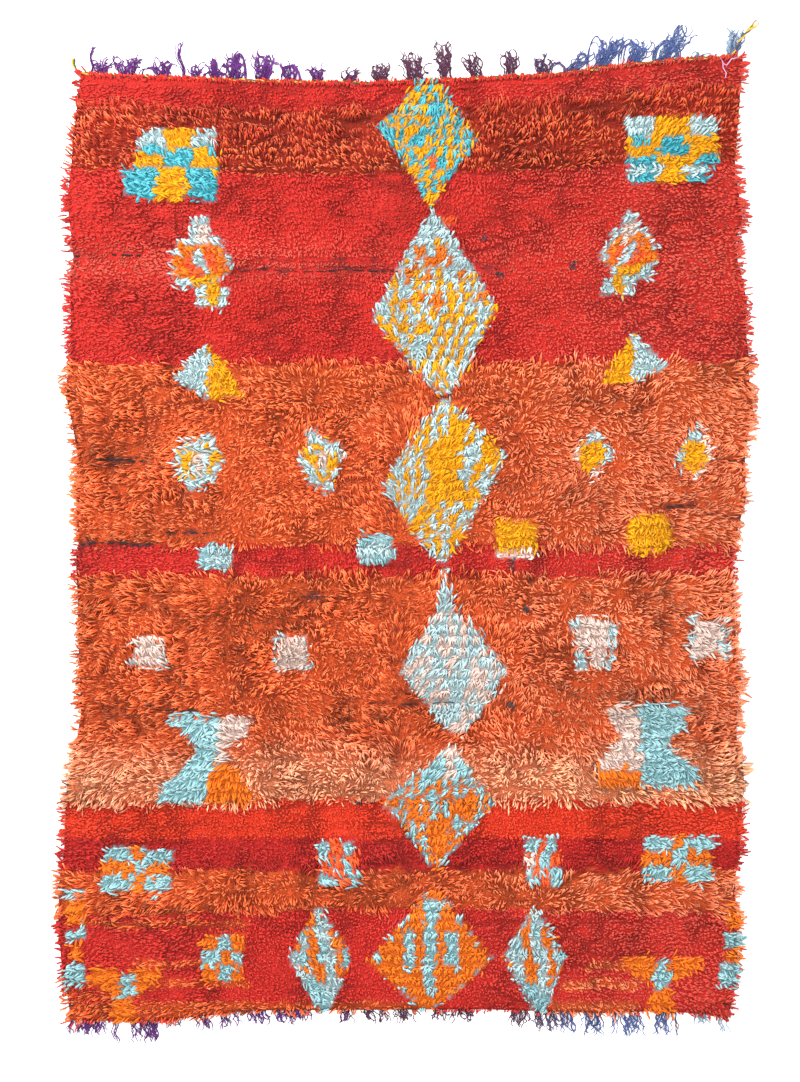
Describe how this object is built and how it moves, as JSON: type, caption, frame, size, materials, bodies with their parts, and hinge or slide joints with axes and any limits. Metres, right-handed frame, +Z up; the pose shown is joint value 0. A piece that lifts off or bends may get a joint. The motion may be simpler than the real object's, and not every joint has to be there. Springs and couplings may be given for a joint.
{
  "type": "moroccan rug",
  "caption": "Long hand-knotted wool pile rug with banded red and rust shag, tribal diamonds and checks, a twined heading cord and short warp fringes.",
  "frame": {"origin": "on the floor, under the middle of the rug's whole length and width, fringes and cord tails included", "axes": "+X across the rug to its right, +Y along it to the end with the heading cord and the long fringe, +Z up out of the pile"},
  "size_m": [1.7468, 2.5117, 0.0313],
  "materials": {
    "pile_wool": "hand-spun wool shag, dyed red and rust in bands, with aqua, amber, orange and pink motifs",
    "cord_wool": "two twined wool plies, mustard and dark olive",
    "warp_upper": "kinked wool warp ends, purple to blue",
    "warp_lower": "kinked wool warp ends, purple to blue"
  },
  "bodies": {
    "root": {"pile_rug": "pile_wool", "heading_cord": "cord_wool", "fringe_top": "warp_upper", "fringe_bottom": "warp_lower"}
  },
  "joints": []
}
